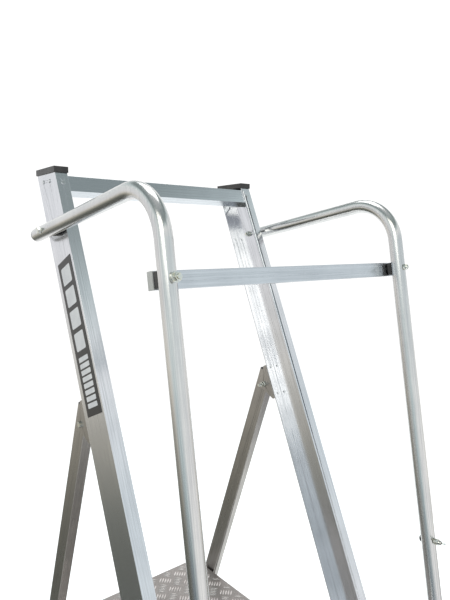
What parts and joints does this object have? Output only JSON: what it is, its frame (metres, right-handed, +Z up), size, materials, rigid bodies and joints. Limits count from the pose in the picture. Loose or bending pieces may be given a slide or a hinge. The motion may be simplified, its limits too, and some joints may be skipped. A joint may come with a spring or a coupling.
{
  "type": "platform step ladder",
  "caption": "Folding platform step ladder with leaning channel stiles, ribbed treads, a chequer plate deck, bent tube handrails and a drop-down safety bar.",
  "frame": {"origin": "middle of the footprint on the floor, with the ladder open; Z = 0 is the floor", "axes": "+Z up; the climber faces +Y, so the treads are on the -Y side and the rear legs on the +Y side; +X is the climber's right"},
  "size_m": [0.6962, 1.7336, 2.534],
  "materials": {
    "mill_aluminium": "mill finish, faint drawing lines along the length",
    "cap_plastic": "moulded black plastic",
    "foot_rubber": "moulded rubber",
    "rivet_aluminium": "plain rivets",
    "tread_aluminium": "ribbed extrusion, mill finish",
    "bright_tube": "drawn tube, semi-bright",
    "plug_plastic": "moulded grey plastic",
    "zinc_steel": "bright zinc plate",
    "dark_steel": "blackened steel",
    "leg_aluminium": "mill finish, duller",
    "label_print": "printed film, black with pale blocks, no lettering",
    "chequer_plate": "five-bar chequer plate"
  },
  "bodies": {
    "front_frame": {"stile_left": "mill_aluminium", "stile_right": "mill_aluminium", "stile_cap_left": "cap_plastic", "stile_cap_right": "cap_plastic", "stile_foot_left": "foot_rubber", "stile_foot_right": "foot_rubber", "top_rail": "mill_aluminium", "top_rail_cleats": "mill_aluminium", "top_rail_rivets": "rivet_aluminium", "tread_1": "tread_aluminium", "tread_2": "tread_aluminium", "tread_3": "tread_aluminium", "tread_4": "tread_aluminium", "tread_rivets": "rivet_aluminium", "handrail_left": "bright_tube", "handrail_right": "bright_tube", "handrail_lower_left": "bright_tube", "handrail_lower_right": "bright_tube", "handrail_plugs": "plug_plastic", "handrail_saddles": "cap_plastic", "handrail_bolts": "zinc_steel", "handrail_nuts": "zinc_steel", "joint_bolts": "dark_steel", "bar_bolt": "zinc_steel", "bar_nut": "zinc_steel", "bar_saddles": "cap_plastic", "bar_washers": "dark_steel", "bar_catch_bolt": "zinc_steel", "bar_catch_nut": "zinc_steel", "leg_bracket_left": "leg_aluminium", "leg_bracket_right": "leg_aluminium", "bracket_rivets": "rivet_aluminium", "leg_pivot_bolts": "zinc_steel", "leg_pivot_nuts": "zinc_steel", "stile_rivets": "rivet_aluminium", "label_plate": "label_print", "deck_hinge_bolts": "zinc_steel", "deck_hinge_nuts": "zinc_steel", "deck_hinge_spacers": "zinc_steel"},
    "rear_frame": {"rear_leg_left": "leg_aluminium", "rear_leg_right": "leg_aluminium", "leg_bushes": "zinc_steel", "leg_top_plugs": "cap_plastic", "rear_foot_left": "foot_rubber", "rear_foot_right": "foot_rubber", "support_rail": "leg_aluminium", "lower_rail": "leg_aluminium", "rear_brace_a": "leg_aluminium", "rear_brace_b": "leg_aluminium", "rear_frame_rivets": "rivet_aluminium"},
    "deck_body": {"deck": "chequer_plate", "deck_ribs": "mill_aluminium"},
    "bar_body": {"safety_bar": "mill_aluminium", "safety_bar_caps": "plug_plastic"},
    "wing_nut_left_body": {"wing_nut_left": "zinc_steel"},
    "wing_nut_right_body": {"wing_nut_right": "zinc_steel"}
  },
  "joints": [
    {"name": "rear_frame_fold", "type": "hinge", "parent": "front_frame", "child": "rear_frame", "pos_m": [0, 0.11359, 1.94724], "axis": [-1, 0, 0], "range_deg": [0, 43.4]},
    {"name": "deck_fold", "type": "hinge", "parent": "front_frame", "child": "deck_body", "pos_m": [0, -0.28538, 1.222], "axis": [1, 0, 0], "range_deg": [0, 66.8]},
    {"name": "safety_bar_drop", "type": "hinge", "parent": "front_frame", "child": "bar_body", "pos_m": [-0.324, -0.28702, 2.298], "axis": [0, 0.9871, -0.1599], "range_deg": [0, 90]},
    {"name": "wing_nut_left_turn", "type": "hinge", "parent": "front_frame", "child": "wing_nut_left_body", "pos_m": [-0.324, -0.38892, 1.66882], "axis": [0, -0.9871, 0.1599], "range_deg": [0, 360]},
    {"name": "wing_nut_right_turn", "type": "hinge", "parent": "front_frame", "child": "wing_nut_right_body", "pos_m": [0.324, -0.38892, 1.66882], "axis": [0, -0.9871, 0.1599], "range_deg": [0, 360]}
  ],
  "couplings": [
    {"joint": "deck_fold", "follows": "rear_frame_fold", "ratio": 1.5392}
  ]
}
